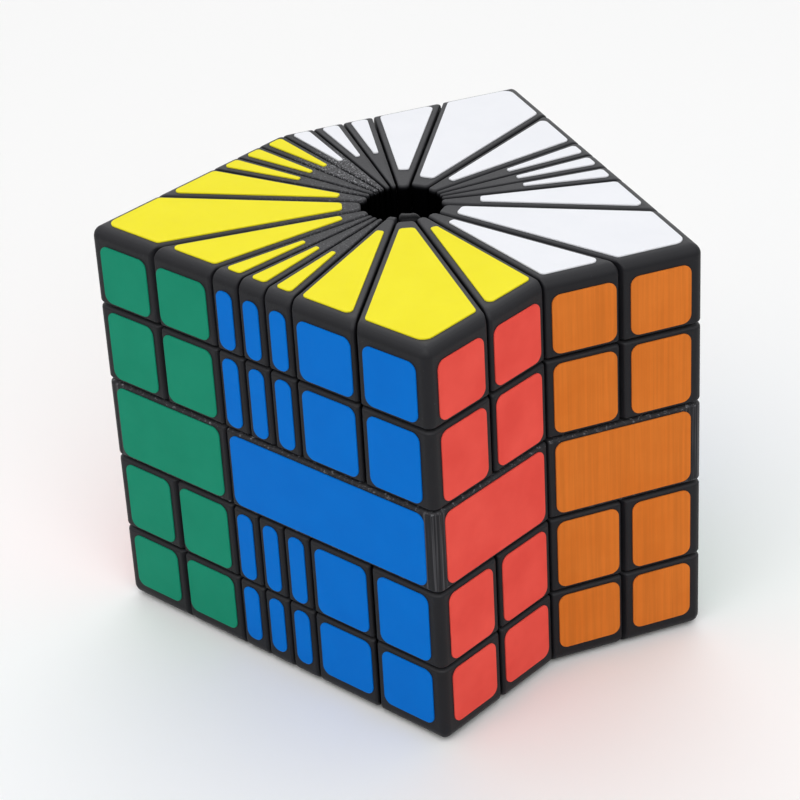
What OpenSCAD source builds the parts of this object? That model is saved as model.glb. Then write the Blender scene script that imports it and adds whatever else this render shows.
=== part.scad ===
// Five-layer shape-shifting puzzle cube: four turning layers of wedge pieces above and
// below a quartered middle layer, with two upright slice planes that cross on the axis.
// Millimetres, +Z up, standing on its underside stickers.

/* [Cube] */
// Distance across two opposite sides of the cube
cube_w = 64; // [60:0.5:72]
// Height of the top layer and of the bottom layer
outer_layer_h = 12.4; // [11.5:0.1:14]
// Height of the two layers next to the middle
inner_layer_h = 12.6; // [11.5:0.1:14]
// Height of the middle layer
middle_layer_h = 13.2; // [12.8:0.1:16]
// Rounding of the top and bottom outer edges
edge_r = 1.7; // [1:0.1:3.5]
// Rounding of the upright corner edges
corner_r = 1.3; // [1:0.1:3]

/* [Wedges] */
// Angle of one thin wedge, three of which sit together
thin_angle = 9; // [8:0.25:10]
// Angle of one wide wedge, which sits on either side of a corner piece
wide_angle = 18; // [16:0.25:20]
// Gap between neighbouring pieces
seam_gap = 0.3; // [0.2:0.05:0.5]
// Gap between layers
layer_gap = 0.4; // [0.3:0.05:0.6]
// Radius of the open hole at the axis, at the thin wedges
hole_r = 6.1; // [5.6:0.1:7]

/* [Stickers] */
// Thickness of a sticker
sticker_t = 0.2; // [0.1:0.05:0.4]
// Bare edge beside a wide sticker
sticker_edge = 1.1; // [0.6:0.1:1.6]
// Bare edge beside a thin sticker
sticker_thin_edge = 1.1; // [0.4:0.1:1.5]
// Bare edge at the rounded corner
sticker_corner_edge = 2; // [1.5:0.1:3]
// Bare edge of a top or bottom sticker at the rounded rim
sticker_rim = 1.8; // [1.2:0.1:3]
// Bare edge of a side sticker at the rounded rim
sticker_side_rim = 2.5; // [1.5:0.1:3.5]
// Corner radius of a side sticker
sticker_round = 1.35; // [0.5:0.05:1.4]

/* [Inner mechanism] */
// Radius of the core ball
core_r = 5.2; // [5:0.1:5.4]
// Radius of the ball-shaped hollow that holds the core
cavity_r = 12.9; // [12.7:0.1:13.4]
// Inner radius of the round feet that hold a layer to the next one
foot_r0 = 17.4; // [16.5:0.1:18]
// Outer radius of the round feet
foot_r1 = 23.6; // [23:0.1:24.5]
// Clearance between a foot and its groove
foot_clear = 0.4; // [0.3:0.05:0.5]

/* [Hidden] */
half = cube_w / 2;
alpha = 1.5 * thin_angle;                  // half of a group of three thin wedges
corner_angle = 90 - 3 * thin_angle - 2 * wide_angle;
g = seam_gap / 2;
lg = layer_gap / 2;
z1 = middle_layer_h / 2;                   // middle layer's top, from the mid plane
z2 = z1 + inner_layer_h;
z3 = z2 + outer_layer_h;
mid_z = z3 + sticker_t;                    // mid plane above the floor
corner_x = (half * sqrt(2) - corner_r * sqrt(2)) * cos(45 - alpha) + corner_r;
film_x = (half + sticker_t) * cos(alpha) + (half - sticker_corner_edge) * sin(alpha);
back_x = max((half + sticker_t) * cos(alpha) + (half * tan(alpha) - sticker_thin_edge) * sin(alpha),
             (half - seam_gap / 2 * sin(alpha)) / cos(alpha));
axis_x = -(max(corner_x, film_x) - back_x) / 2;  // turning axis, from the middle of the outline
// angles where one quarter's six pieces meet, from its first slice plane
cuts = [0, wide_angle, wide_angle + corner_angle, 2 * wide_angle + corner_angle,
        90 - 2 * thin_angle, 90 - thin_angle, 90];
tip_r = [hole_r - 0.6, hole_r + 0.8, hole_r - 0.6, hole_r, hole_r, hole_r];
neck_r0 = foot_r0 + 2;
neck_r1 = foot_r1 - 2;
foot_h = 4.9;                              // how far a foot reaches below the layer's face
foot_head = 2;                             // thickness of the foot's head
hook_r0 = core_r + 0.4;
hook_r1 = cavity_r - 4.3;
cap_r0 = hook_r1 + 0.3;
cap_r1 = cavity_r - 0.3;
cap_cone = 30;                             // half angle of a cap, seen from the centre
hub_r = 2.4;
screw_r = 1.25;
head_r = 2.3;
seat_r = cap_r0 + 1;                       // where the spring sits in the cap
head_at = cap_r1 - 1.3;
body_colour = "#2b2c2e";
red_film = "#e5524a";
blue_film = "#006dc8";
green_film = "#24886a";
orange_film = "#d47836";
yellow_film = "#f5ec40";
white_film = "#f5f6fa";
metal_colour = "#b9bcc0";
$fn = 96;

// ---- plane geometry ------------------------------------------------------
// where the lines a.x = d and b.x = e cross
function cross_at(a, d, b, e) =
    let (k = a[0] * b[1] - a[1] * b[0])
    [(d * b[1] - e * a[1]) / k, (a[0] * e - b[0] * d) / k];
function unit(t) = [cos(t), sin(t)];
// outward normals of a piece's two cut faces, for cut angles p0 < p1 (clockwise from +X)
function first_side(p0) = [sin(p0), cos(p0)];
function last_side(p1) = [-sin(p1), -cos(p1)];
n_one = unit(alpha);                       // outward normal of a quarter's first side
n_two = unit(alpha - 90);                  // and of its second side
function is_corner(i) = i == 1;
function side_of(i) = i < 1 ? n_one : n_two;

// outline of piece i: cut faces drawn in by m, sides drawn in by s, blunt inner end at radius r
function outline(i, m, s, r) =
    let (a = first_side(cuts[i]), b = last_side(cuts[i + 1]),
         c = -unit(-(cuts[i] + cuts[i + 1]) / 2))
    concat(
        [cross_at(b, -m, c, -r), cross_at(a, -m, c, -r)],
        is_corner(i)
            ? [cross_at(a, -m, n_one, half - s), cross_at(n_one, half - s, n_two, half - s),
               cross_at(b, -m, n_two, half - s)]
            : [cross_at(a, -m, side_of(i), half - s), cross_at(b, -m, side_of(i), half - s)]);

// the same outline with its corners rounded to the radii in rs
function rounded(p, rs, n = 4) = [
    for (i = [0 : len(p) - 1])
        let (a = p[(i + len(p) - 1) % len(p)], b = p[(i + 1) % len(p)],
             u = (a - p[i]) / norm(a - p[i]), v = (b - p[i]) / norm(b - p[i]),
             h = acos(u * v) / 2, r = rs[i],
             c = p[i] + (u + v) / norm(u + v) * r / sin(h),
             s = p[i] + u * r / tan(h) - c, e = p[i] + v * r / tan(h) - c,
             t0 = atan2(s[1], s[0]), d = atan2(e[1], e[0]) - t0,
             turn = d > 180 ? d - 360 : d < -180 ? d + 360 : d)
        for (k = [0 : n]) c + r * unit(t0 + turn * k / n)];

// one of the four quarters, placed about the turning axis at the mid plane
module at_quarter(name)
    translate([axis_x, 0, mid_z])
    mirror([0, (name == "back_right" || name == "back_left") ? 1 : 0, 0])
    rotate([0, 0, (name == "front_left" || name == "back_left") ? -90 : 0])
    children();

// ---- wedge pieces --------------------------------------------------------
module ring(r0, r1, h0, h1)
    rotate_extrude() translate([r0, h0]) square([r1 - r0, h1 - h0]);

// what a rounding takes off the outer top edge of the quarter's first or second side
module edge_cut(side, z)
    rotate([0, 0, side == 1 ? alpha + 90 : alpha])
    translate([0, -half, z])
    difference() {
        translate([-half - 4, -1, -edge_r]) cube([2 * half + 8, edge_r + 1, edge_r + 1]);
        translate([-half - 5, edge_r, -edge_r]) rotate([0, 90, 0]) cylinder(h = 2 * half + 10, r = edge_r + 0.02);
    }

// what a rounding takes off the upright corner
module corner_cut(z0, z1)
    rotate([0, 0, alpha]) translate([half, -half, z0])
    difference() {
        translate([-corner_r, -1, -1]) cube([corner_r + 1, corner_r + 1, z1 - z0 + 2]);
        translate([-corner_r, corner_r, -2]) cylinder(h = z1 - z0 + 4, r = corner_r + 0.02);
    }

// foot under a layer whose lower face is at height z
module foot(z) {
    ring(neck_r0, neck_r1, z - foot_h + foot_head - 0.5, z + lg + 0.5);
    ring(foot_r0, foot_r1, z - foot_h, z - foot_h + foot_head);
}

// groove in the face at height z, for the foot of the layer above it
module groove(z) {
    ring(neck_r0 - foot_clear, neck_r1 + foot_clear, z - foot_h + foot_head, z + 1);
    ring(foot_r0 - foot_clear, foot_r1 + foot_clear, z - foot_h - foot_clear, z - foot_h + foot_head + foot_clear);
}

module sector(i, z0, z1)
    translate([0, 0, z0]) linear_extrude(z1 - z0) polygon(outline(i, g, -2, 3));

// top or bottom layer: six pieces, each a separate solid
module outer_layer_quarter()
    for (i = [0 : 5])
        difference() {
            intersection() {
                sector(i, z2 - foot_h - 1, z3 + 1);
                union() {
                    difference() {
                        translate([0, 0, z2 + lg]) linear_extrude(outer_layer_h - lg)
                            polygon(outline(i, 0, 0, 3.2));
                        cylinder(h = z3 + 2, r = tip_r[i]);
                    }
                    foot(z2);
                    if (is_corner(i)) ring(hole_r - 1.3, hole_r + 2, z3 - 4.6, z3 - 2.2);
                }
            }
            if (i < 2) edge_cut(1, z3);
            if (i > 0) edge_cut(2, z3);
            if (is_corner(i)) corner_cut(z2, z3);
        }

// layer next to the middle: six pieces, each a separate solid
module inner_layer_quarter()
    for (i = [0 : 5])
        difference() {
            intersection() {
                sector(i, z1 - foot_h - 1, z2 + 1);
                union() {
                    difference() {
                        translate([0, 0, z1 + lg]) linear_extrude(inner_layer_h - 2 * lg)
                            polygon(outline(i, 0, 0, 3.2));
                        cylinder(h = z2 + 2, r = hole_r);
                        groove(z2);
                    }
                    foot(z1);
                }
            }
            sphere(r = cavity_r);
            if (is_corner(i)) corner_cut(z1, z2);
        }

// ---- middle layer --------------------------------------------------------
function quarter_outline() =
    let (a = first_side(0), b = last_side(90))
    [cross_at(a, -g, b, -g), cross_at(a, -g, n_one, half),
     cross_at(n_one, half, n_two, half), cross_at(b, -g, n_two, half)];

module middle_quarter() {
    difference() {
        translate([0, 0, lg - z1]) linear_extrude(middle_layer_h - 2 * lg) polygon(quarter_outline());
        sphere(r = cavity_r);
        groove(z1);
        mirror([0, 0, 1]) groove(z1);
        corner_cut(-z1, z1);
    }
    // hook that the two caps next to this quarter hold in
    intersection() {
        difference() {
            sphere(r = hook_r1);
            sphere(r = hook_r0);
        }
        translate([hub_r + 0.4, -hub_r - 0.4 - 12, -4.5]) cube([12, 12, 9]);
    }
    rotate([0, 0, -45]) translate([hook_r1 - 0.6, -1.4, -2.5]) cube([cavity_r - hook_r1 + 1.6, 2.8, 5]);
}

// ---- stickers ------------------------------------------------------------
// a sticker on the quarter's first or second side, from u0 to u1 along it and z0 to z1 up it
module side_film(side, u0, u1, h0, h1, r)
    rotate([0, 0, side == 1 ? alpha + 90 : alpha])
    translate([0, -half, 0]) rotate([90, 0, 0]) linear_extrude(sticker_t)
    polygon(rounded([[u0, h0], [u1, h0], [u1, h1], [u0, h1]], [r, r, r, r]));

function along(side, p) = half * tan(-p - (side == 1 ? alpha : alpha - 90));

module side_stickers(layer, side) {
    h0 = (layer == "outer" ? z2 : z1) + lg + 0.6;
    h1 = layer == "outer" ? z3 - max(sticker_side_rim, edge_r) : z2 - lg - 0.6;
    if (side == 1) {
        side_film(1, along(1, cuts[1]) + sticker_edge, along(1, 0) - sticker_edge, h0, h1, sticker_round);
        side_film(1, -half + sticker_corner_edge, along(1, cuts[1]) - sticker_edge, h0, h1, sticker_round);
    } else {
        side_film(2, along(2, cuts[2]) + sticker_edge, half - sticker_corner_edge, h0, h1, sticker_round);
        side_film(2, along(2, cuts[3]) + sticker_edge, along(2, cuts[2]) - sticker_edge, h0, h1, sticker_round);
        for (i = [3 : 5])
            side_film(2, along(2, cuts[i + 1]) + sticker_thin_edge, along(2, cuts[i]) - sticker_thin_edge, h0, h1, sticker_round - 0.1);
    }
}

module middle_sticker(side)
    if (side == 1)
        side_film(1, -half + sticker_corner_edge, along(1, 0) - sticker_edge, lg + 0.6 - z1, z1 - lg - 0.6, sticker_round);
    else
        side_film(2, along(2, 90) + sticker_edge, half - sticker_corner_edge, lg + 0.6 - z1, z1 - lg - 0.6, sticker_round);

module face_stickers(back = false)
    for (i = [0 : 5])
        translate([0, 0, z3]) linear_extrude(sticker_t)
        polygon(rounded(
            outline(i, i < 3 ? sticker_edge - 0.1 : sticker_edge - 0.05, max(sticker_rim, edge_r), is_corner(i) ? 8.8 : i > 2 ? 18 : i == 2 && back ? 11.2 : 9.8),
            is_corner(i) ? [0.7, 0.7, 0.8, 1.6, 0.8] : i < 3 ? [0.4, 0.4, 0.8, 0.8] : [0.28, 0.28, 0.6, 0.6]));

// ---- core, screws, springs and caps --------------------------------------
module on_four_arms()
    for (t = [0 : 90 : 270]) translate([axis_x, 0, mid_z]) rotate([0, 0, t]) rotate([0, 90, 0]) children();

module core()
    color(body_colour) difference() {
        translate([axis_x, 0, mid_z]) sphere(r = core_r);
        on_four_arms() translate([0, 0, 1.7]) cylinder(h = 8, r = screw_r + 0.05);
    }

module core_screws()
    color(metal_colour) on_four_arms() difference() {
        union() {
            translate([0, 0, 2]) cylinder(h = head_at - 1.9, r = screw_r);
            translate([0, 0, head_at]) cylinder(h = 1, r = head_r);
        }
        translate([0, 0, head_at + 0.35]) cylinder(h = 2, r = 1.1, $fn = 6);
    }

module retaining_caps()
    color(body_colour) on_four_arms() difference() {
        union() {
            intersection() {
                difference() {
                    sphere(r = cap_r1);
                    sphere(r = cap_r0);
                }
                cylinder(h = cap_r1 + 2, r1 = 0, r2 = (cap_r1 + 2) * tan(cap_cone));
            }
            translate([0, 0, core_r + 0.25]) cylinder(h = cap_r0 - core_r + 0.4, r = hub_r);
        }
        cylinder(h = 20, r = screw_r + 0.1);
        translate([0, 0, seat_r]) cylinder(h = 10, r = head_r + 0.4);
    }

// coil: rings of points along a helix, joined into one closed tube
spring_turns = 2;
spring_steps = 18;
wire_r = 0.24;
function coil_at(k, j) =
    let (n = spring_turns * spring_steps, t = 360 * k / spring_steps, w = 60 * j,
         z = seat_r + wire_r + 0.03 + (head_at - seat_r - 2 * wire_r - 0.06) * k / n)
    [(1.95 + wire_r * cos(w)) * cos(t), (1.95 + wire_r * cos(w)) * sin(t), z + wire_r * sin(w)];
module tension_springs() {
    n = spring_turns * spring_steps;
    color(metal_colour) on_four_arms()
    polyhedron(
        points = [for (k = [0 : n]) for (j = [0 : 5]) coil_at(k, j)],
        faces = concat(
            [[for (j = [0 : 5]) j]],
            [for (k = [0 : n - 1]) for (j = [0 : 5])
                [k * 6 + j, (k + 1) * 6 + j, (k + 1) * 6 + (j + 1) % 6, k * 6 + (j + 1) % 6]],
            [[for (j = [5 : -1 : 0]) n * 6 + j]]));
}

// ---- the named pieces ----------------------------------------------------

module middle_front_right_quarter() at_quarter("front_right") color(body_colour) middle_quarter();
module middle_front_left_quarter() at_quarter("front_left") color(body_colour) middle_quarter();
module middle_back_right_quarter() at_quarter("back_right") color(body_colour) middle_quarter();
module middle_back_left_quarter() at_quarter("back_left") color(body_colour) middle_quarter();
module middle_front_right_red_sticker() at_quarter("front_right") color(red_film) middle_sticker(1);
module middle_front_right_blue_sticker() at_quarter("front_right") color(blue_film) middle_sticker(2);
module middle_front_left_green_sticker() at_quarter("front_left") color(green_film) middle_sticker(1);
module middle_front_left_red_sticker() at_quarter("front_left") color(red_film) middle_sticker(2);
module middle_back_right_orange_sticker() at_quarter("back_right") color(orange_film) middle_sticker(1);
module middle_back_right_green_sticker() at_quarter("back_right") color(green_film) middle_sticker(2);
module middle_back_left_blue_sticker() at_quarter("back_left") color(blue_film) middle_sticker(1);
module middle_back_left_orange_sticker() at_quarter("back_left") color(orange_film) middle_sticker(2);
module top_front_right_wedges() at_quarter("front_right") color(body_colour) outer_layer_quarter();
module top_front_left_wedges() at_quarter("front_left") color(body_colour) outer_layer_quarter();
module top_back_right_wedges() at_quarter("back_right") color(body_colour) outer_layer_quarter();
module top_back_left_wedges() at_quarter("back_left") color(body_colour) outer_layer_quarter();
module top_front_right_red_stickers() at_quarter("front_right") color(red_film) side_stickers("outer", 1);
module top_front_right_blue_stickers() at_quarter("front_right") color(blue_film) side_stickers("outer", 2);
module top_front_left_side_stickers() at_quarter("front_left")  { color(green_film) side_stickers("outer", 1); color(red_film) side_stickers("outer", 2); }
module top_back_right_side_stickers() at_quarter("back_right")  { color(orange_film) side_stickers("outer", 1); color(green_film) side_stickers("outer", 2); }
module top_back_left_side_stickers() at_quarter("back_left")  { color(blue_film) side_stickers("outer", 1); color(orange_film) side_stickers("outer", 2); }
module top_front_right_yellow_stickers() at_quarter("front_right") color(yellow_film) face_stickers(false);
module top_front_left_yellow_stickers() at_quarter("front_left") color(yellow_film) face_stickers(false);
module top_back_right_white_stickers() at_quarter("back_right") color(white_film) face_stickers(true);
module top_back_left_white_stickers() at_quarter("back_left") color(white_film) face_stickers(true);
module upper_front_right_wedges() at_quarter("front_right") color(body_colour) inner_layer_quarter();
module upper_front_left_wedges() at_quarter("front_left") color(body_colour) inner_layer_quarter();
module upper_back_right_wedges() at_quarter("back_right") color(body_colour) inner_layer_quarter();
module upper_back_left_wedges() at_quarter("back_left") color(body_colour) inner_layer_quarter();
module upper_front_right_red_stickers() at_quarter("front_right") color(red_film) side_stickers("inner", 1);
module upper_front_right_blue_stickers() at_quarter("front_right") color(blue_film) side_stickers("inner", 2);
module upper_front_left_side_stickers() at_quarter("front_left")  { color(green_film) side_stickers("inner", 1); color(red_film) side_stickers("inner", 2); }
module upper_back_right_side_stickers() at_quarter("back_right")  { color(orange_film) side_stickers("inner", 1); color(green_film) side_stickers("inner", 2); }
module upper_back_left_side_stickers() at_quarter("back_left")  { color(blue_film) side_stickers("inner", 1); color(orange_film) side_stickers("inner", 2); }
module lower_front_right_wedges() at_quarter("front_right") mirror([0, 0, 1]) color(body_colour) inner_layer_quarter();
module lower_front_left_wedges() at_quarter("front_left") mirror([0, 0, 1]) color(body_colour) inner_layer_quarter();
module lower_back_right_wedges() at_quarter("back_right") mirror([0, 0, 1]) color(body_colour) inner_layer_quarter();
module lower_back_left_wedges() at_quarter("back_left") mirror([0, 0, 1]) color(body_colour) inner_layer_quarter();
module lower_front_right_red_stickers() at_quarter("front_right") mirror([0, 0, 1]) color(red_film) side_stickers("inner", 1);
module lower_front_right_blue_stickers() at_quarter("front_right") mirror([0, 0, 1]) color(blue_film) side_stickers("inner", 2);
module lower_front_left_side_stickers() at_quarter("front_left") mirror([0, 0, 1])  { color(green_film) side_stickers("inner", 1); color(red_film) side_stickers("inner", 2); }
module lower_back_right_side_stickers() at_quarter("back_right") mirror([0, 0, 1])  { color(orange_film) side_stickers("inner", 1); color(green_film) side_stickers("inner", 2); }
module lower_back_left_side_stickers() at_quarter("back_left") mirror([0, 0, 1])  { color(blue_film) side_stickers("inner", 1); color(orange_film) side_stickers("inner", 2); }
module bottom_front_right_wedges() at_quarter("front_right") mirror([0, 0, 1]) color(body_colour) outer_layer_quarter();
module bottom_front_left_wedges() at_quarter("front_left") mirror([0, 0, 1]) color(body_colour) outer_layer_quarter();
module bottom_back_right_wedges() at_quarter("back_right") mirror([0, 0, 1]) color(body_colour) outer_layer_quarter();
module bottom_back_left_wedges() at_quarter("back_left") mirror([0, 0, 1]) color(body_colour) outer_layer_quarter();
module bottom_front_right_red_stickers() at_quarter("front_right") mirror([0, 0, 1]) color(red_film) side_stickers("outer", 1);
module bottom_front_right_blue_stickers() at_quarter("front_right") mirror([0, 0, 1]) color(blue_film) side_stickers("outer", 2);
module bottom_front_left_side_stickers() at_quarter("front_left") mirror([0, 0, 1])  { color(green_film) side_stickers("outer", 1); color(red_film) side_stickers("outer", 2); }
module bottom_back_right_side_stickers() at_quarter("back_right") mirror([0, 0, 1])  { color(orange_film) side_stickers("outer", 1); color(green_film) side_stickers("outer", 2); }
module bottom_back_left_side_stickers() at_quarter("back_left") mirror([0, 0, 1])  { color(blue_film) side_stickers("outer", 1); color(orange_film) side_stickers("outer", 2); }
module bottom_front_right_white_stickers() at_quarter("front_right") mirror([0, 0, 1]) color(white_film) face_stickers(false);
module bottom_front_left_white_stickers() at_quarter("front_left") mirror([0, 0, 1]) color(white_film) face_stickers(false);
module bottom_back_right_yellow_stickers() at_quarter("back_right") mirror([0, 0, 1]) color(yellow_film) face_stickers(true);
module bottom_back_left_yellow_stickers() at_quarter("back_left") mirror([0, 0, 1]) color(yellow_film) face_stickers(true);

middle_front_right_quarter();
middle_front_left_quarter();
middle_back_right_quarter();
middle_back_left_quarter();
middle_front_right_red_sticker();
middle_front_right_blue_sticker();
middle_front_left_green_sticker();
middle_front_left_red_sticker();
middle_back_right_orange_sticker();
middle_back_right_green_sticker();
middle_back_left_blue_sticker();
middle_back_left_orange_sticker();
top_front_right_wedges();
top_front_left_wedges();
top_back_right_wedges();
top_back_left_wedges();
top_front_right_red_stickers();
top_front_right_blue_stickers();
top_front_left_side_stickers();
top_back_right_side_stickers();
top_back_left_side_stickers();
top_front_right_yellow_stickers();
top_front_left_yellow_stickers();
top_back_right_white_stickers();
top_back_left_white_stickers();
upper_front_right_wedges();
upper_front_left_wedges();
upper_back_right_wedges();
upper_back_left_wedges();
upper_front_right_red_stickers();
upper_front_right_blue_stickers();
upper_front_left_side_stickers();
upper_back_right_side_stickers();
upper_back_left_side_stickers();
lower_front_right_wedges();
lower_front_left_wedges();
lower_back_right_wedges();
lower_back_left_wedges();
lower_front_right_red_stickers();
lower_front_right_blue_stickers();
lower_front_left_side_stickers();
lower_back_right_side_stickers();
lower_back_left_side_stickers();
bottom_front_right_wedges();
bottom_front_left_wedges();
bottom_back_right_wedges();
bottom_back_left_wedges();
bottom_front_right_red_stickers();
bottom_front_right_blue_stickers();
bottom_front_left_side_stickers();
bottom_back_right_side_stickers();
bottom_back_left_side_stickers();
bottom_front_right_white_stickers();
bottom_front_left_white_stickers();
bottom_back_right_yellow_stickers();
bottom_back_left_yellow_stickers();
core();
core_screws();
tension_springs();
retaining_caps();
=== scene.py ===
import math

import bpy
import numpy as np
from mathutils import Matrix, Vector


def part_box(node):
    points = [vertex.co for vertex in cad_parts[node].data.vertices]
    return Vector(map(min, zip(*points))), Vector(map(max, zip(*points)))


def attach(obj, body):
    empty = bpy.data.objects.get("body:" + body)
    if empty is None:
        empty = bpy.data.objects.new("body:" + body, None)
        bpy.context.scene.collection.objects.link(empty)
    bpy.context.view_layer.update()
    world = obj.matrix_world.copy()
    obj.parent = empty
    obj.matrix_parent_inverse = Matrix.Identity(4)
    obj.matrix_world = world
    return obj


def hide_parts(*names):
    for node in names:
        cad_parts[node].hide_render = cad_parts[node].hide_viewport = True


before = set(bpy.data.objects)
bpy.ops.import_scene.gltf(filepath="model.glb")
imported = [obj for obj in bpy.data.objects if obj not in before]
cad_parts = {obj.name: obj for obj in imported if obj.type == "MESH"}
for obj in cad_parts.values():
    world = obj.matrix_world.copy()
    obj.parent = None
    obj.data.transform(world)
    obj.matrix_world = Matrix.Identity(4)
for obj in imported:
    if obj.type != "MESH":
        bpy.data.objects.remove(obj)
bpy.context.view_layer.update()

MM = 0.001

# ---- sizes, in millimetres, as in part.scad ------------------------------------------------
HALF = 32.0
ALPHA = 13.5
CUTS = [0, 18, 45, 63, 72, 81, 90]
GAP = 0.15                      # half of the space between neighbours
LAYER_GAP = 0.2
Z1, Z2, Z3 = 6.6, 19.2, 31.6    # layer faces, from the mid plane
FILM = 0.2
CAVITY = 12.9
FOOT_R0, FOOT_R1, FOOT_H, FOOT_HEAD, FOOT_CLEAR = 17.4, 23.6, 4.9, 2.0, 0.4
NECK_R0, NECK_R1 = FOOT_R0 + 2, FOOT_R1 - 2
HOOK_R0, HOOK_R1, HUB_R = 5.6, 8.6, 2.4
TIP = [5.7, 6.1, 5.6, 5.8, 5.8, 5.8]
KIND = ["wide_wedge_a", "corner_wedge", "wide_wedge_b", "thin_wedge_a", "thin_wedge_b", "thin_wedge_c"]

lo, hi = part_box("core")
CENTRE = (lo + hi) / 2          # where the turning axes meet, on the mid plane


def unit(t):
    return np.array([math.cos(math.radians(t)), math.sin(math.radians(t))])


N_ONE, N_TWO = unit(ALPHA), unit(ALPHA - 90)


# ---- outlines ------------------------------------------------------------------------------
def planes_of(i):
    """Outward normals of wedge i's upright faces, counter-clockwise, and what each one is."""
    p0, p1 = CUTS[i], CUTS[i + 1]
    upper = np.array([math.sin(math.radians(p0)), math.cos(math.radians(p0))])
    lower = np.array([-math.sin(math.radians(p1)), -math.cos(math.radians(p1))])
    inner = -unit(-(p0 + p1) / 2)
    sides = [N_TWO, N_ONE] if i == 1 else [N_ONE if i < 1 else N_TWO]
    return [lower, *sides, upper, inner], ["cut", *["side"] * len(sides), "cut", "inner"]


def cross_at(a, d, b, e):
    k = a[0] * b[1] - a[1] * b[0]
    return np.array([(d * b[1] - e * a[1]) / k, (a[0] * e - b[0] * d) / k])


def rounded(normals, offsets, radii, n):
    """The polygon inside these lines, each corner as n + 1 points of an arc."""
    m = len(normals)
    p = [cross_at(normals[k], offsets[k], normals[(k + 1) % m], offsets[(k + 1) % m]) for k in range(m)]
    out = []
    for k in range(m):
        a, b, r = p[k - 1], p[(k + 1) % m], radii[k]
        u = (a - p[k]) / np.linalg.norm(a - p[k])
        v = (b - p[k]) / np.linalg.norm(b - p[k])
        half = math.acos(max(-1.0, min(1.0, float(u @ v)))) / 2
        w = (u + v) / np.linalg.norm(u + v)
        c = p[k] + w * r / math.sin(half)
        s = p[k] + u * r / math.tan(half) - c
        e = p[k] + v * r / math.tan(half) - c
        t0 = math.atan2(s[1], s[0])
        d = math.atan2(e[1], e[0]) - t0
        d = d - 2 * math.pi if d > math.pi else d + 2 * math.pi if d < -math.pi else d
        for j in range(n + 1):
            t = t0 + d * j / n
            out.append(c + r * np.array([math.cos(t), math.sin(t)]))
    return np.array(out)


def inset(r, h):
    """How far a rounding of radius r has drawn a face in at depth h below the flat."""
    return 0.0 if h >= r or r <= 0 else r - math.sqrt(max(0.0, r * r - (r - h) ** 2))


def depths(radii):
    out = {0.0}
    for r in sorted(set(radii)):
        for k in range(9 if r > 1 else 5):
            t = math.pi / 2 * k / (9 if r > 1 else 5)
            out.add(round(r * (1 - math.sin(t)), 4))
    kept = []
    for h in sorted(out):
        if not kept or h - kept[-1] > 0.012 * (1 + h):
            kept.append(h)
    return kept


def prism(normals, offsets, corner, z0, z1, low, high, n=5, least=0.1):
    """Levels of an upright prism whose lower and upper edges are rounded, face by face."""
    m = len(normals)
    levels = []

    def level(z, h, radii):
        d = [inset(r, h) for r in radii]
        rr = [max(least, corner[k] - max(0.0, min(d[k], d[(k + 1) % m]))) for k in range(m)]
        pts = rounded(normals, [offsets[k] - d[k] for k in range(m)], rr, n)
        levels.append(np.column_stack([pts, np.full(len(pts), z)]))

    for h in depths(low):
        level(z0 + h, h, low)
    for h in reversed(depths(high)):
        level(z1 - h, h, high)
    return levels


# ---- meshes --------------------------------------------------------------------------------
def loft(levels, flip=False):
    n = len(levels[0])
    v = np.concatenate(levels)
    f = []
    for k in range(len(levels) - 1):
        for j in range(n):
            a, b = k * n + j, k * n + (j + 1) % n
            f.append((a, b, b + n, a + n))
    f.append(tuple(range(n - 1, -1, -1)))
    f.append(tuple(range((len(levels) - 1) * n, len(levels) * n)))
    if flip:
        f = [tuple(reversed(x)) for x in f]
    return v, f


def swept(profile, spans, closed=False, steps=24):
    """A profile of (r, z) points carried round the axis; spans gives each point's own first and last angle."""
    n = len(profile)
    levels = []
    for k in range(steps + (0 if closed else 1)):
        row = []
        for (r, z), (t0, t1) in zip(profile, spans):
            t = t0 + (t1 - t0) * k / steps
            row.append([r * math.cos(t), r * math.sin(t), z])
        levels.append(np.array(row))
    if not closed:
        return loft(levels)
    v = np.concatenate(levels)
    f = []
    for k in range(steps):
        for j in range(n):
            a, b = k * n + j, k * n + (j + 1) % n
            c = ((k + 1) % steps) * n
            f.append((a, b, c + (j + 1) % n, c + j))
    return v, f


def to_mesh(name, v, f):
    me = bpy.data.meshes.new(name)
    me.from_pydata([tuple(float(x) for x in p) for p in v], [], f)
    me.validate()
    me.update()
    return me


def shown_mesh(me):
    o = bpy.data.objects.new(me.name, me)
    bpy.context.scene.collection.objects.link(o)
    return o


def outward(v, f):
    """The faces, turned so that the closed shell's volume is positive."""
    vol = 0.0
    for x in f:
        a = v[x[0]]
        for k in range(1, len(x) - 1):
            vol += float(np.dot(a, np.cross(v[x[k]], v[x[k + 1]])))
    return f if vol > 0 else [tuple(reversed(x)) for x in f]


def combine(body, parts, name):
    """body with each ("UNION" or "DIFFERENCE" or "INTERSECT", (v, f)) applied, as (v, f)."""
    base = shown_mesh(to_mesh(name, body[0], outward(*body)))
    tools = []
    for op, (v, f) in parts:
        t = shown_mesh(to_mesh(name + "_tool", v, outward(v, f)))
        m = base.modifiers.new("part", "BOOLEAN")
        m.operation, m.solver, m.object = op, "MANIFOLD", t
        tools.append(t)
    bpy.context.view_layer.update()
    dg = bpy.context.evaluated_depsgraph_get()
    ev = base.evaluated_get(dg)
    me = bpy.data.meshes.new_from_object(ev)
    v = np.array([tuple(x.co) for x in me.vertices])
    f = [tuple(p.vertices) for p in me.polygons]
    for o in [base, *tools]:
        d = o.data
        bpy.data.objects.remove(o)
        bpy.data.meshes.remove(d)
    bpy.data.meshes.remove(me)
    if len(v) == 0:
        raise RuntimeError(name + " came out empty")
    return v, f


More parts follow.
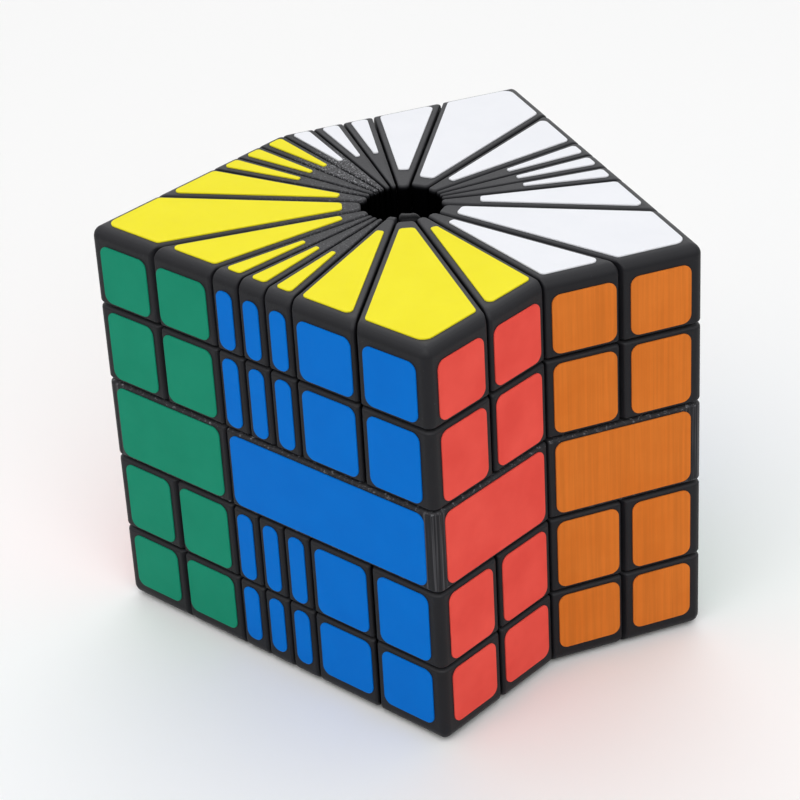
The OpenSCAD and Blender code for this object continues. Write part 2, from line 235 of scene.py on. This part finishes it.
def soft_box(r0, r1, z0, z1, rad, n=3):
    """Counter-clockwise (r, z) outline of a rectangle with rounded corners."""
    out = []
    for cx, cz, t in ((r1 - rad, z0 + rad, -90), (r1 - rad, z1 - rad, 0), (r0 + rad, z1 - rad, 90), (r0 + rad, z0 + rad, 180)):
        for k in range(n + 1):
            a = math.radians(t + 90 * k / n)
            out.append((cx + rad * math.cos(a), cz + rad * math.sin(a)))
    return out


def between(i, profile, m):
    """Angle spans that keep a swept profile between wedge i's cut faces, less m on each side."""
    return [
        (math.radians(-CUTS[i + 1]) + math.asin(m / r), math.radians(-CUTS[i]) - math.asin(m / r))
        for r, _ in profile
    ]


def ball(r, n=48):
    """A closed sphere as rings of points."""
    levels = []
    for k in range(1, n):
        t = math.pi * k / n - math.pi / 2
        levels.append(
            np.array([[r * math.cos(t) * math.cos(a), r * math.cos(t) * math.sin(a), r * math.sin(t)]
                      for a in np.linspace(0, 2 * math.pi, 2 * n, endpoint=False)])
        )
    return loft(levels)


def round_ring(r0, r1, z0, z1, rad=0.25):
    prof = soft_box(r0, r1, z0, z1, rad)
    return swept(prof, [(0, 2 * math.pi)] * len(prof), closed=True, steps=180)


def groove_tools(z):
    return [
        ("DIFFERENCE", round_ring(NECK_R0 - FOOT_CLEAR, NECK_R1 + FOOT_CLEAR, z - FOOT_H + FOOT_HEAD, z + 1)),
        ("DIFFERENCE", round_ring(FOOT_R0 - FOOT_CLEAR, FOOT_R1 + FOOT_CLEAR, z - FOOT_H - FOOT_CLEAR, z - FOOT_H + FOOT_HEAD + FOOT_CLEAR)),
    ]


def foot_tools(i, z):
    out = []
    for r0, r1, a, b in ((NECK_R0, NECK_R1, z - FOOT_H + FOOT_HEAD - 0.6, z + LAYER_GAP + 0.8), (FOOT_R0, FOOT_R1, z - FOOT_H, z - FOOT_H + FOOT_HEAD)):
        prof = soft_box(r0, r1, a, b, 0.3)
        out.append(("UNION", swept(prof, between(i, prof, GAP + 0.02 * (r0 < NECK_R0)), steps=12)))
    return out


SEAM = 0.42      # rounding along the cut faces
LIP = 0.5        # rounding where layers meet on the sides
TOP = 1.7        # rounding of the outer rim
UPRIGHT = 1.3    # rounding of the upright corner


def wedge(i, layer):
    normals, kinds = planes_of(i)
    offs = {"cut": -GAP, "side": HALF, "inner": -TIP[i]}
    offsets = [offs[k] for k in kinds]
    m = len(kinds)
    width = 2 * TIP[i] * math.tan(math.radians((CUTS[i + 1] - CUTS[i]) / 2)) - 2 * GAP
    tip = min(0.8, width * 0.47)
    corner = []
    for k in range(m):
        pair = {kinds[k], kinds[(k + 1) % m]}
        corner.append(UPRIGHT if pair == {"side"} else 0.5 if "side" in pair else tip)
    if layer == "outer":
        high = [{"cut": SEAM if i < 3 else 0.26, "side": TOP, "inner": 0.35}[k] for k in kinds]
        z0, z1 = Z2 + LAYER_GAP, Z3
    else:
        high = [{"cut": 0.35, "side": LIP, "inner": 0.35}[k] for k in kinds]
        z0, z1 = Z1 + LAYER_GAP, Z2 - LAYER_GAP
    low = [{"cut": 0.35, "side": LIP, "inner": 0.35}[k] for k in kinds]
    body = loft(prism(normals, offsets, corner, z0, z1, low, high))
    parts = []
    if layer == "outer":
        parts += foot_tools(i, Z2)
    else:
        parts += groove_tools(Z2)
        parts += foot_tools(i, Z1)
        parts.append(("DIFFERENCE", ball(CAVITY)))
    return combine(body, parts, f"{layer}_{i}")


def tip_toes():
    """The rounded toes that show in the hole, below the tips of two front wedges."""
    out = []
    for i, r0, r1, top, first, last in ((1, 2.3, 4.8, 0.15, -46, -1.5), (2, 3.4, 6.3, 0.3, -65, -47)):
        levels = []
        for k in range(25):
            # the bar's ends are drawn in, so that it is round along its length too
            x = 2 * k / 24 - 1
            near = max(0.0, (abs(x) - 0.62) / 0.38)
            shrink = 1 - math.sqrt(max(0.0, 1 - near * near)) * 0.86 if near else 0.14
            t = math.radians(first + (last - first) * k / 24)
            rm, zm = (r0 + r1) / 2 + (0.3 * (x + 1) if i == 1 else 0), Z3 - top - 0.8
            a, b = (r1 - r0) / 2 * (1.14 - shrink), 0.8 * (1.14 - shrink)
            row = [(rm + a * math.cos(s), zm + b * math.sin(s)) for s in np.linspace(0, 2 * math.pi, 20, endpoint=False)]
            levels.append(np.array([[r * math.cos(t), r * math.sin(t), z] for r, z in row]))
        stem = soft_box(r1 - 1.0, 7.6, Z3 - 2.6, Z3 - 1.2, 0.3)
        out.append(combine(loft(levels), [("UNION", swept(stem, between(i, stem, GAP + 0.15), steps=8))], f"tip_toe_{i}"))
    return out


def middle_quarter():
    normals = [np.array([-1.0, 0.0]), N_TWO, N_ONE, np.array([0.0, 1.0])]
    kinds = ["cut", "side", "side", "cut"]
    offsets = [-GAP, HALF, HALF, -GAP]
    corner = [0.5, UPRIGHT, 0.5, 0.6]
    rim = [0.4, LIP, LIP, 0.4]
    body = loft(prism(normals, offsets, corner, LAYER_GAP - Z1, Z1 - LAYER_GAP, rim, rim))
    parts = [("DIFFERENCE", ball(CAVITY)), *groove_tools(Z1)]
    for op, (v, f) in groove_tools(Z1):
        parts.append((op, (v * [1, 1, -1], f)))
    body = combine(body, parts, "middle_body")
    hook = combine(ball(HOOK_R1), [
        ("DIFFERENCE", ball(HOOK_R0)),
        ("INTERSECT", loft([np.array([[x, y, z] for x, y in ((HUB_R + 0.4, -14.8), (14.8, -14.8), (14.8, -HUB_R - 0.4), (HUB_R + 0.4, -HUB_R - 0.4))]) for z in (-4.5, 4.5)])),
    ], "hook")
    c = math.cos(math.radians(-45))
    s = math.sin(math.radians(-45))
    post = []
    for x in (HOOK_R1 - 0.6, CAVITY + 1.0):
        ring = soft_box(-1.4, 1.4, -2.5, 2.5, 0.5, n=4)
        post.append(np.array([[x * c - y * s, x * s + y * c, z] for y, z in ring]))
    return combine(body, [("UNION", loft(post)), ("UNION", hook)], "middle_quarter")


# ---- films ---------------------------------------------------------------------------------
EDGE = 0.07


def film_levels(normals, offsets, radii, n=6):
    """A film's levels as (outline, height): square at the foot, softened at its top edge."""
    out = []
    for d, h in ((0.0, -0.04), (0.0, FILM - EDGE), (EDGE * 0.13, FILM - EDGE * 0.5), (EDGE * 0.5, FILM - EDGE * 0.13), (EDGE, FILM)):
        out.append((rounded(normals, [o - d for o in offsets], [max(0.05, r - d) for r in radii], n), h))
    return out


def side_film(side, u0, u1, h0, h1, r):
    t = ALPHA if side == 1 else ALPHA - 90
    n3 = np.array([*unit(t), 0.0])
    u3 = np.array([*unit(t + 90), 0.0])
    z3 = np.array([0.0, 0.0, 1.0])
    normals = [np.array([1.0, 0.0]), np.array([0.0, 1.0]), np.array([-1.0, 0.0]), np.array([0.0, -1.0])]
    levels = []
    for pts, h in film_levels(normals, [u1, h1, -u0, -h0], [r] * 4):
        levels.append(np.array([u3 * p[0] + z3 * p[1] + n3 * (HALF + h) for p in pts]))
    v, f = loft(levels)
    return v, outward(v, f)


def face_film(i, back=False):
    normals, kinds = planes_of(i)
    m = len(kinds)
    edge = 1.0 if i < 3 else 1.05
    inner = 8.8 if i == 1 else 18.0 if i > 2 else 11.2 if i == 2 and back else 9.8
    offsets = [{"cut": -edge, "side": HALF - 1.8, "inner": -inner}[k] for k in kinds]
    radii = []
    for k in range(m):
        pair = {kinds[k], kinds[(k + 1) % m]}
        if pair == {"side"}:
            radii.append(1.6)
        elif "side" in pair:
            radii.append(0.8 if i < 3 else 0.6)
        else:
            radii.append(0.7 if i == 1 else 0.4 if i < 3 else 0.28)
    levels = [np.column_stack([pts, np.full(len(pts), Z3 + h)]) for pts, h in film_levels(normals, offsets, radii)]
    v, f = loft(levels)
    return v, outward(v, f)


def along(side, p):
    return HALF * math.tan(math.radians(-p - (ALPHA if side == 1 else ALPHA - 90)))


S_EDGE, S_THIN, S_CORNER = 1.1, 1.1, 2.0


def layer_films(layer):
    """{side: [film]} for one quarter of a layer."""
    h0 = (Z2 if layer == "outer" else Z1) + LAYER_GAP + 0.6
    h1 = Z3 - 2.5 if layer == "outer" else Z2 - LAYER_GAP - 0.6
    one = [
        side_film(1, along(1, CUTS[1]) + S_EDGE, along(1, 0) - S_EDGE, h0, h1, 1.35),
        side_film(1, -HALF + S_CORNER, along(1, CUTS[1]) - S_EDGE, h0, h1, 1.35),
    ]
    two = [
        side_film(2, along(2, CUTS[2]) + S_EDGE, HALF - S_CORNER, h0, h1, 1.35),
        side_film(2, along(2, CUTS[3]) + S_EDGE, along(2, CUTS[2]) - S_EDGE, h0, h1, 1.35),
    ]
    for i in (3, 4, 5):
        two.append(side_film(2, along(2, CUTS[i + 1]) + S_THIN, along(2, CUTS[i]) - S_THIN, h0, h1, 1.25))
    return {1: one, 2: two}


def middle_film(side):
    if side == 1:
        return side_film(1, -HALF + S_CORNER, along(1, 0) - S_EDGE, LAYER_GAP + 0.6 - Z1, Z1 - LAYER_GAP - 0.6, 1.35)
    return side_film(2, along(2, 90) + S_EDGE, HALF - S_CORNER, LAYER_GAP + 0.6 - Z1, Z1 - LAYER_GAP - 0.6, 1.35)


# ---- placing -------------------------------------------------------------------------------
def place(v, f, quarter, lower):
    """Base quarter to its place in the frame, in metres."""
    v = np.array(v, float)
    turn = False
    if lower:
        v = v * [1, 1, -1]
        turn = not turn
    if quarter.endswith("left"):
        v = np.column_stack([v[:, 1], -v[:, 0], v[:, 2]])
    if quarter.startswith("back"):
        v = v * [1, -1, 1]
        turn = not turn
    v = v * MM + np.array(CENTRE)
    return v, [tuple(reversed(x)) for x in f] if turn else f


def merge(parts):
    v, f, n = [], [], 0
    for a, b in parts:
        v.append(a)
        f += [tuple(x + n for x in face) for face in b]
        n += len(a)
    return np.concatenate(v), f


def piece(name, v, f, material, body, node, sharp=35):
    me = to_mesh(name, v, f)
    me.materials.append(material)
    me.polygons.foreach_set("use_smooth", [True] * len(me.polygons))
    me.set_sharp_from_angle(angle=math.radians(sharp))
    o = shown_mesh(me)
    o.modifiers.new("even_normals", "WEIGHTED_NORMAL").keep_sharp = True
    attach(o, body)
    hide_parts(node)
    return o


# ---- materials -----------------------------------------------------------------------------
def start(name):
    m = bpy.data.materials.new(name)
    m.use_nodes = True
    nt = m.node_tree
    return m, nt, nt.nodes["Principled BSDF"]


def noise(nt, scale, detail=2.0, rough=0.5, stretch=None, distort=0.0):
    co = nt.nodes.new("ShaderNodeTexCoord")
    n = nt.nodes.new("ShaderNodeTexNoise")
    n.inputs["Scale"].default_value = scale
    n.inputs["Detail"].default_value = detail
    n.inputs["Roughness"].default_value = rough
    n.inputs["Distortion"].default_value = distort
    if stretch is None:
        nt.links.new(co.outputs["Object"], n.inputs["Vector"])
    else:
        mp = nt.nodes.new("ShaderNodeMapping")
        mp.inputs["Scale"].default_value = stretch
        nt.links.new(co.outputs["Object"], mp.inputs["Vector"])
        nt.links.new(mp.outputs["Vector"], n.inputs["Vector"])
    return n.outputs["Fac"]


def spread(nt, src, a, b, lo, hi):
    r = nt.nodes.new("ShaderNodeMapRange")
    for k, x in (("From Min", a), ("From Max", b), ("To Min", lo), ("To Max", hi)):
        r.inputs[k].default_value = x
    nt.links.new(src, r.inputs["Value"])
    return r.outputs["Result"]


def math_node(nt, op, a, b):
    n = nt.nodes.new("ShaderNodeMath")
    n.operation = op
    for k, x in enumerate((a, b)):
        if isinstance(x, (int, float)):
            n.inputs[k].default_value = x
        else:
            nt.links.new(x, n.inputs[k])
    return n.outputs[0]


def mixed(nt, fac, a, b):
    n = nt.nodes.new("ShaderNodeMix")
    n.data_type = "RGBA"
    for k, x in (("Factor", fac), ("A", a), ("B", b)):
        sockets = [s for s in n.inputs if s.name == k and s.enabled]
        if isinstance(x, (tuple, list)):
            sockets[0].default_value = (*x, 1.0)
        else:
            nt.links.new(x, sockets[0])
    return [s for s in n.outputs if s.enabled][0]


def bump(nt, bsdf, parts):
    """parts: (height source, strength, distance in metres), laid one over another."""
    last = None
    for src, strength, dist in parts:
        b = nt.nodes.new("ShaderNodeBump")
        b.inputs["Strength"].default_value = strength
        b.inputs["Distance"].default_value = dist
        nt.links.new(src, b.inputs["Height"])
        if last is not None:
            nt.links.new(last, b.inputs["Normal"])
        last = b.outputs["Normal"]
    nt.links.new(last, bsdf.inputs["Normal"])


def around(nt):
    """Distance from the upright axis and height above or below the mid plane, in metres."""
    co = nt.nodes.new("ShaderNodeTexCoord")
    sub = nt.nodes.new("ShaderNodeVectorMath")
    sub.operation = "SUBTRACT"
    nt.links.new(co.outputs["Object"], sub.inputs[0])
    sub.inputs[1].default_value = CENTRE
    flat = nt.nodes.new("ShaderNodeVectorMath")
    flat.operation = "MULTIPLY"
    nt.links.new(sub.outputs[0], flat.inputs[0])
    flat.inputs[1].default_value = (1, 1, 0)
    r = nt.nodes.new("ShaderNodeVectorMath")
    r.operation = "LENGTH"
    nt.links.new(flat.outputs[0], r.inputs[0])
    up = nt.nodes.new("ShaderNodeSeparateXYZ")
    nt.links.new(sub.outputs[0], up.inputs[0])
    return r.outputs["Value"], math_node(nt, "ABSOLUTE", up.outputs["Z"], 0.0)


def painted_hole_shade(nt):
    """Painted shade mask: 1 on the walls of the middle hole, 0 from the softened edge of the tips outward and upward.
    """
    out, high = around(nt)
    near = spread(nt, out, 8.2 * MM, 9.5 * MM, 1.0, 0.0)
    deep = spread(nt, high, (Z3 - 0.7) * MM, (Z3 - 0.25) * MM, 1.0, 0.0)
    return math_node(nt, "MULTIPLY", near, deep)


def nylon(name, dark, light, rough_lo, rough_hi, grain=1.0, ridges_and_edge_glints=0.0, painted_top_sheen_and_hole_shade=False, coarse_grain_and_glints=0.0, shine=0.17):
    m, nt, p = start(name)
    broad = noise(nt, 90, 3)
    fine = noise(nt, 5200, 2, 0.6)
    specks = noise(nt, 2600, 1, 0.5)
    tone = mixed(nt, spread(nt, broad, 0.3, 0.7, 0.0, 1.0), dark, light)
    dust = spread(nt, specks, 0.74, 0.8, 0.0, 0.35)
    if coarse_grain_and_glints:
        # rough print: painted glints, pale specks in the base colour standing for the sparkle of the grains, denser
        # toward the axis
        grains = noise(nt, 3300, 4, 0.8)
    tone = mixed(nt, dust, tone, tuple(min(1.0, x * 4.0) for x in light))
    if ridges_and_edge_glints:
        # upright print lines at the corner, and painted highlight specks along the upper and lower edges
        out, high = around(nt)
        lines = noise(nt, 1.0, 3, 0.7, stretch=(2400, 2400, 26))
        corner = spread(nt, out, 42.6 * MM, 44.0 * MM, 0.12, 1.0)
        tone = mixed(nt, math_node(nt, "MULTIPLY", corner, spread(nt, lines, 0.50, 0.64, 0.0, 1.0)), tone, (0.070, 0.070, 0.076))
        edge = spread(nt, high, (Z1 - 0.75) * MM, (Z1 - 0.35) * MM, 0.0, 1.0)
        edge_glints = spread(nt, noise(nt, 1500, 4, 0.8), 0.56, 0.66, 0.0, 0.8)
        tone = mixed(nt, math_node(nt, "MULTIPLY", edge, edge_glints), tone, (0.30, 0.30, 0.32))
    if coarse_grain_and_glints:
        inner = spread(nt, around(nt)[0], 19 * MM, 25 * MM, 1.0, 0.0)
        # painted glints: pale specks mixed into the base colour
        painted_glints = spread(nt, grains, 0.57 - 0.04 * coarse_grain_and_glints, 0.66, 0.0, min(1.0, 0.9 * coarse_grain_and_glints))
        tone = mixed(nt, math_node(nt, "MULTIPLY", inner, painted_glints), tone, (0.50, 0.50, 0.53))
    if painted_top_sheen_and_hole_shade:
        # painted sheen: faces that point up are lightened in the base colour to stand for the sheen they catch;
        # painted shade: the walls of the hole are drawn near black to stand for their shadow
        geo = nt.nodes.new("ShaderNodeNewGeometry")
        facing = nt.nodes.new("ShaderNodeSeparateXYZ")
        nt.links.new(geo.outputs["Normal"], facing.inputs[0])
        top_sheen = nt.nodes.new("ShaderNodeMix")
        top_sheen.data_type, top_sheen.blend_type = "RGBA", "ADD"
        colours = [x for x in top_sheen.inputs if x.enabled and x.name in "AB"]
        nt.links.new(spread(nt, facing.outputs["Z"], 0.2, 0.95, 0.0, 1.0), [x for x in top_sheen.inputs if x.enabled and x.name == "Factor"][0])
        nt.links.new(tone, colours[0])
        colours[1].default_value = (0.026, 0.026, 0.027, 1)
        tone = [x for x in top_sheen.outputs if x.enabled][0]
        # painted shade: the hole's walls get a near-black base colour and little specular, standing for their shadow
        painted_shade = painted_hole_shade(nt)
        tone = mixed(nt, painted_shade, tone, (0.0006, 0.0006, 0.0007))
        nt.links.new(spread(nt, painted_shade, 0.0, 1.0, 0.17, 0.02), p.inputs["Specular IOR Level"])
    else:
        p.inputs["Specular IOR Level"].default_value = shine
    nt.links.new(tone, p.inputs["Base Color"])
    r = spread(nt, fine, 0.25, 0.75, rough_lo, rough_hi)
    r = math_node(nt, "ADD", r, spread(nt, broad, 0.3, 0.7, -0.04, 0.05))
    nt.links.new(r, p.inputs["Roughness"])
    layers = [(fine, 0.25 * grain, 0.00006), (noise(nt, 1400, 2), 0.12 * grain, 0.00012)]
    if coarse_grain_and_glints:
        layers.append((grains, 0.6 * coarse_grain_and_glints, 0.00025))
    if ridges_and_edge_glints:
        layers.append((lines, ridges_and_edge_glints, 0.00035))
    bump(nt, p, layers)
    return m


def film_material(name, colour, other, rough, streak=0.0, peel=0.05):
    m, nt, p = start(name)
    broad = noise(nt, 160, 3)
    tone = mixed(nt, spread(nt, broad, 0.3, 0.7, 0.0, 1.0), colour, other)
    if streak:
        lines = noise(nt, 1.0, 3, 0.65, stretch=(1500, 1500, 34))
        fac = spread(nt, lines, 0.38, 0.66, 0.0, streak)
        tone = mixed(nt, fac, tone, tuple(x * 0.72 for x in colour))
    scratch = noise(nt, 1.0, 2, 0.5, stretch=(420, 3600, 900), distort=0.3)
    worn = spread(nt, scratch, 0.70, 0.76, 0.0, 0.12)
    tone = mixed(nt, worn, tone, tuple(x * 0.8 for x in colour))
    nt.links.new(tone, p.inputs["Base Color"])
    fine = noise(nt, 900, 2)
    r = spread(nt, fine, 0.3, 0.7, rough - 0.05, rough + 0.06)
    if streak:
        r = math_node(nt, "ADD", r, spread(nt, lines, 0.4, 0.7, -0.04, 0.06))
    nt.links.new(r, p.inputs["Roughness"])
    p.inputs["Specular IOR Level"].default_value = 0.035
    layers = [(fine, peel, 0.0001), (scratch, 0.06, 0.00005)]
    if streak:
        layers.append((lines, 0.1, 0.00008))
    bump(nt, p, layers)
    return m


BLACK = nylon("black_nylon", (0.0088, 0.0088, 0.0108), (0.0122, 0.0122, 0.0146), 0.40, 0.54, painted_top_sheen_and_hole_shade=True)
BLACK_RIDGED = nylon("black_nylon_ridged", (0.0088, 0.0088, 0.0108), (0.0124, 0.0124, 0.0148), 0.40, 0.54, ridges_and_edge_glints=0.22, painted_top_sheen_and_hole_shade=True)
CORE = nylon("black_core_plastic", (0.008, 0.008, 0.009), (0.012, 0.012, 0.013), 0.42, 0.56)
# painted shade: the bar under the rim gets a darker copy of the nylon, standing for the shadow it sits in
BAR = nylon("black_nylon_smooth_painted_shade", (0.0030, 0.0030, 0.0035), (0.0050, 0.0050, 0.0058), 0.22, 0.34, shine=0.09)
# painted light: the toe in the hole gets a lighter copy of the nylon, standing for the light it catches from behind
BLACK_TOE = nylon("black_nylon_toe_painted_light", (0.018, 0.018, 0.021), (0.024, 0.024, 0.027), 0.36, 0.50)
BLACK_GRAINY_GLINTS = nylon("black_nylon_grainy_glints", (0.0084, 0.0084, 0.0103), (0.0140, 0.0140, 0.0165), 0.38, 0.58, painted_top_sheen_and_hole_shade=True, coarse_grain_and_glints=0.3)
BLACK_COARSE_GLINTS = nylon("black_nylon_coarse_glints", (0.0080, 0.0080, 0.0098), (0.0150, 0.0150, 0.0175), 0.38, 0.60, painted_top_sheen_and_hole_shade=True, coarse_grain_and_glints=1.0)
FILMS = {
    "red": film_material("red_vinyl", (0.86, 0.096, 0.072), (0.78, 0.074, 0.056), 0.45),
    "blue": film_material("blue_vinyl", (0.0, 0.160, 0.610), (0.0, 0.150, 0.585), 0.43),
    "green": film_material("green_vinyl", (0.010, 0.257, 0.150), (0.008, 0.238, 0.137), 0.45),
    "orange": film_material("orange_vinyl", (0.70, 0.190, 0.027), (0.65, 0.166, 0.021), 0.45, streak=0.5),
    "yellow": film_material("yellow_vinyl", (0.866, 0.771, 0.024), (0.842, 0.742, 0.020), 0.43),
    "white": film_material("white_vinyl", (0.826, 0.834, 0.866), (0.802, 0.812, 0.846), 0.43),
}
m, nt, p = start("brushed_steel")
p.inputs["Base Color"].default_value = (0.6, 0.6, 0.61, 1)
p.inputs["Metallic"].default_value = 1.0
nt.links.new(spread(nt, noise(nt, 1.0, 2, 0.5, stretch=(900, 4000, 900)), 0.3, 0.7, 0.28, 0.45), p.inputs["Roughness"])
STEEL = m

# ---- the pieces ----------------------------------------------------------------------------
QUARTERS = ["front_right", "front_left", "back_right", "back_left"]
SIDES = {
    "front_right": ("red", "blue"),
    "front_left": ("green", "red"),
    "back_right": ("orange", "green"),
    "back_left": ("blue", "orange"),
}
base = {(layer, i): wedge(i, layer) for layer in ("outer", "inner") for i in range(6)}
films = {layer: layer_films(layer) for layer in ("outer", "inner")}
faces = {back: [face_film(i, back) for i in range(6)] for back in (False, True)}
mid = middle_quarter()



def finish_of(level, q, i):
    """Some of the top's wedges came off the printer rougher than the rest; their finishes also carry painted glints.
    """
    if level != "top" or q == "back_right":
        return BLACK
    if i == 5 and q.endswith("left"):
        return BLACK_COARSE_GLINTS
    return BLACK_GRAINY_GLINTS if q == "front_left" or (q == "front_right" and i > 2) else BLACK


for level, layer, lower in (("top", "outer", False), ("upper", "inner", False), ("lower", "inner", True), ("bottom", "outer", True)):
    for q in QUARTERS:
        body = f"{level}_{q}"
        for i in range(6):
            v, f = place(*base[(layer, i)], q, lower)
            piece(f"{level}_{q}_{KIND[i]}", v, f, finish_of(level, q, i), body, f"{level}_{q}_wedges")
        for side in (1, 2):
            colour = SIDES[q][side - 1]
            v, f = merge([place(a, b, q, lower) for a, b in films[layer][side]])
            node = f"{level}_{q}_{colour}_stickers" if q == "front_right" else f"{level}_{q}_side_stickers"
            piece(f"{level}_{q}_{colour}_films", v, f, FILMS[colour], body, node)
        if layer == "outer":
            front = q.startswith("front")
            colour = "yellow" if front != lower else "white"
            v, f = merge([place(a, b, q, lower) for a, b in faces[not front]])
            piece(f"{level}_{q}_{colour}_films", v, f, FILMS[colour], body, f"{level}_{q}_{colour}_stickers")

for toe, name, finish in zip(tip_toes(), ("corner", "wide_b"), (BAR, BLACK_TOE)):
    v, f = place(*toe, "front_right", False)
    piece(f"top_front_right_{name}_toe", v, f, finish, "top_front_right", "top_front_right_wedges")

for q in QUARTERS:
    body = "core_and_back_right_middle" if q == "back_right" else f"middle_{q}"
    v, f = place(*mid, q, False)
    piece(f"middle_{q}_block", v, f, BLACK_RIDGED, body, f"middle_{q}_quarter")
    for side in (1, 2):
        colour = SIDES[q][side - 1]
        v, f = place(*middle_film(side), q, False)
        piece(f"middle_{q}_{colour}_film", v, f, FILMS[colour], body, f"middle_{q}_{colour}_sticker")

for node, material, name in (("core", CORE, "core_plastic"), ("retaining_caps", CORE, "core_plastic"), ("core_screws", STEEL, "steel"), ("tension_springs", STEEL, "steel")):
    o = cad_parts[node]
    for s in o.material_slots:
        s.link = "OBJECT"
        s.material = material

# ---- floor, light, camera ------------------------------------------------------------------
n = 96
ring = [np.array([[math.cos(t) * r, math.sin(t) * r, 0.0] for t in np.linspace(0, 2 * math.pi, n, endpoint=False)]) for r in (2.5, 0.0001)]
v, f = loft(ring)
floor = shown_mesh(to_mesh("floor", v, f[:-2] + [f[-1]]))
m, nt, p = start("pale_floor")
tone = mixed(nt, noise(nt, 3, 2), (0.925, 0.925, 0.92), (0.94, 0.935, 0.925))
nt.links.new(tone, p.inputs["Base Color"])
p.inputs["Roughness"].default_value = 0.75
floor.data.materials.append(m)

world = bpy.data.worlds.new("soft_room")
bpy.context.scene.world = world
world.use_nodes = True
wt = world.node_tree
sky = wt.nodes["Background"]
sky.inputs["Color"].default_value = (0.985, 0.99, 1.0, 1)
co = wt.nodes.new("ShaderNodeTexCoord")
xyz = wt.nodes.new("ShaderNodeSeparateXYZ")
wt.links.new(co.outputs["Generated"], xyz.inputs[0])
behind = math_node(wt, "SUBTRACT", math_node(wt, "MULTIPLY", xyz.outputs["Y"], 0.55), math_node(wt, "MULTIPLY", xyz.outputs["X"], 0.83))
wt.links.new(
    math_node(wt, "ADD", spread(wt, xyz.outputs["Z"], 0.0, 0.7, 0.36, 0.66), spread(wt, behind, 0.35, 0.9, 0.0, 0.62)),
    sky.inputs["Strength"],
)


def area(name, where, at, size, power, colour=(1, 1, 1)):
    d = bpy.data.lights.new(name, "AREA")
    d.shape = "DISK"
    d.size = size
    d.energy = power
    d.color = colour
    o = bpy.data.objects.new(name, d)
    bpy.context.scene.collection.objects.link(o)
    o.location = where
    o.rotation_mode = "QUATERNION"
    o.rotation_quaternion = (Vector(at) - Vector(where)).to_track_quat("-Z", "Y")
    return o


area("high_softbox", (0.34, -0.32, 0.92), (0, 0, 0.03), 0.9, 2.9)
area("back_softbox", (-0.55, 0.42, 0.72), (0, 0, 0.03), 1.0, 1.2)
area("right_fill", (0.85, -0.20, 0.55), (0, 0, 0.03), 0.6, 1.5)
area("front_fill", (0.10, -0.90, 0.55), (0, 0, 0.03), 0.7, 0.9)

AZ, EL, ROLL = math.radians(56.3544), math.radians(29.6215), math.radians(3.3090)
d = Vector((math.sin(AZ) * math.cos(EL), -math.cos(AZ) * math.cos(EL), math.sin(EL)))
right = Vector((math.cos(AZ), math.sin(AZ), 0))
up = right.cross(-d)
r2 = right * math.cos(ROLL) - up * math.sin(ROLL)
u2 = right * math.sin(ROLL) + up * math.cos(ROLL)
target = CENTRE + Vector((0.0711, -0.0857, -0.45)) * 0.064 + Vector((0, 0, Z3 * MM))
cam_data = bpy.data.cameras.new("camera")
cam_data.sensor_width = 36
cam_data.lens = 2598.5 / 800 * 36
cam_data.clip_start = 0.01
cam = bpy.data.objects.new("camera", cam_data)
bpy.context.scene.collection.objects.link(cam)
place_at = target + d * 0.38298
cam.matrix_world = Matrix((
    (r2.x, u2.x, d.x, place_at.x),
    (r2.y, u2.y, d.y, place_at.y),
    (r2.z, u2.z, d.z, place_at.z),
    (0, 0, 0, 1),
))
bpy.context.scene.camera = cam
bpy.context.scene.view_settings.view_transform = "Standard"
